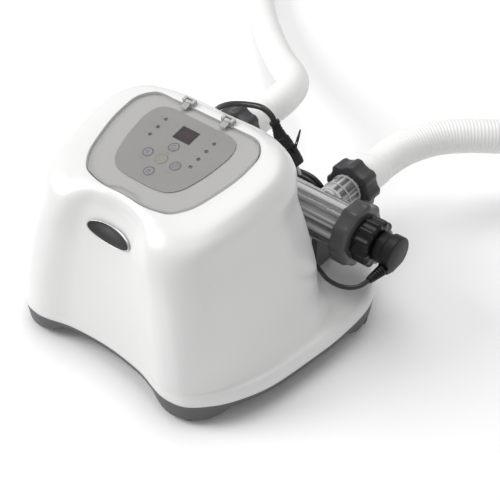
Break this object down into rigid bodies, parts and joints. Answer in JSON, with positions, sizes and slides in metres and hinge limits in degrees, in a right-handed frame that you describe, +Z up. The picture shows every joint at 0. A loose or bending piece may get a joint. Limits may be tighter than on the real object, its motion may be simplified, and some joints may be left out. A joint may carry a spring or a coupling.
{
  "type": "salt chlorine generator",
  "caption": "Domed pool salt chlorine generator with a control panel under a clear flip lid, a clear flow cell, union nuts and flexible hoses.",
  "frame": {"origin": "on the floor under the middle of the unit's footprint, its hoses and cords left out", "axes": "+X to the unit's right-hand side, the electrode's side; +Y to the back, where the hoses leave; +Z up"},
  "size_m": [0.8795, 1.1102, 0.2579],
  "materials": {
    "white_plastic": "satin white",
    "base_grey": "fine texture, dark grey",
    "panel_grey": "satin grey",
    "keypad_grey": "printed film",
    "display_dark": "dark window",
    "button_grey": "satin",
    "smoke_clear": "smoke-tinted clear",
    "lid_clear": "clear",
    "nut_grey": "moulded",
    "cord_black": "smooth PVC",
    "rubber": "matt",
    "hose_white": "corrugated",
    "badge_black": "printed plate",
    "titanium": "coated titanium plates",
    "steel": "bright",
    "board_green": "circuit board",
    "coil_copper": "enamelled copper"
  },
  "bodies": {
    "unit": {"housing_shell": "white_plastic", "base_tray": "base_grey", "cell_cradle_left": "base_grey", "cell_cradle_right": "base_grey", "panel_bezel": "panel_grey", "hinge_bracket_left": "panel_grey", "hinge_bracket_right": "panel_grey", "keypad_overlay": "keypad_grey", "display_window": "display_dark", "cell_tube": "smoke_clear", "electrode_head": "nut_grey", "connector_plug": "cord_black", "connector_strain_relief": "cord_black", "cell_cord": "cord_black", "cell_cord_gland": "cord_black", "mains_gland": "cord_black", "mains_lead": "cord_black", "cord_hank": "cord_black", "mains_loop": "cord_black", "plug_strain_relief": "cord_black", "mains_plug": "cord_black", "cable_tie": "cord_black", "foot_front_left": "rubber", "foot_front_right": "rubber", "foot_rear_left": "rubber", "foot_rear_right": "rubber", "hose_seal_left": "rubber", "hose_seal_right": "rubber", "hose_left": "hose_white", "hose_right": "hose_white", "hose_cuff_left": "hose_white", "hose_cuff_right": "hose_white", "end_cuff_left": "hose_white", "end_cuff_right": "hose_white", "badge_plate": "badge_black", "electrode_plates": "titanium", "hinge_pin_left": "steel", "hinge_pin_right": "steel", "control_board": "board_green", "power_board": "board_green", "transformer": "coil_copper"},
    "lid": {"lid": "lid_clear"},
    "hose_nut_left": {"hose_nut_left": "nut_grey"},
    "hose_nut_right": {"hose_nut_right": "nut_grey"},
    "electrode_collar": {"electrode_collar": "smoke_clear"},
    "electrode_cap": {"electrode_cap": "cord_black"},
    "end_nut_left": {"end_nut_left": "nut_grey"},
    "end_nut_right": {"end_nut_right": "nut_grey"},
    "power_button": {"power_button": "button_grey"},
    "boost_button": {"boost_button": "button_grey"},
    "timer_button": {"timer_button": "button_grey"},
    "self_clean_button": {"self_clean_button": "button_grey"},
    "lock_button": {"lock_button": "button_grey"}
  },
  "joints": [
    {"name": "lid_hinge", "type": "hinge", "parent": "unit", "child": "lid", "pos_m": [0, 0.01198, 0.25421], "axis": [-1, 0, 0], "range_deg": [0, 115]},
    {"name": "power_press", "type": "slide", "parent": "unit", "child": "power_button", "axis": [0, 0.2334, -0.9724], "range_m": [0, 0.0008], "stiffness_N_per_m": 1500},
    {"name": "boost_press", "type": "slide", "parent": "unit", "child": "boost_button", "axis": [0, 0.2334, -0.9724], "range_m": [0, 0.0008], "stiffness_N_per_m": 1500},
    {"name": "timer_press", "type": "slide", "parent": "unit", "child": "timer_button", "axis": [0, 0.2334, -0.9724], "range_m": [0, 0.0008], "stiffness_N_per_m": 1500},
    {"name": "self_clean_press", "type": "slide", "parent": "unit", "child": "self_clean_button", "axis": [0, 0.2334, -0.9724], "range_m": [0, 0.0008], "stiffness_N_per_m": 1500},
    {"name": "lock_press", "type": "slide", "parent": "unit", "child": "lock_button", "axis": [0, 0.2334, -0.9724], "range_m": [0, 0.0008], "stiffness_N_per_m": 1500},
    {"name": "hose_nut_left_turn", "type": "hinge", "parent": "unit", "child": "hose_nut_left", "pos_m": [-0.091, 0.1693, 0.11], "axis": [0, 1, 0], "continuous": true},
    {"name": "hose_nut_right_turn", "type": "hinge", "parent": "unit", "child": "hose_nut_right", "pos_m": [0.091, 0.1693, 0.11], "axis": [0, 1, 0], "continuous": true},
    {"name": "electrode_collar_turn", "type": "hinge", "parent": "unit", "child": "electrode_collar", "pos_m": [0.148, 0.0943, 0.11], "axis": [1, 0, 0], "continuous": true},
    {"name": "electrode_cap_turn", "type": "hinge", "parent": "unit", "child": "electrode_cap", "pos_m": [0.17, 0.0943, 0.11], "axis": [1, 0, 0], "continuous": true},
    {"name": "end_nut_left_turn", "type": "hinge", "parent": "unit", "child": "end_nut_left", "pos_m": [-0.20638, 0.89895, 0.0334], "axis": [1, 0, 0], "continuous": true},
    {"name": "end_nut_right_turn", "type": "hinge", "parent": "unit", "child": "end_nut_right", "pos_m": [0.14119, 0.87951, 0.0334], "axis": [-1, 0, 0], "continuous": true}
  ]
}
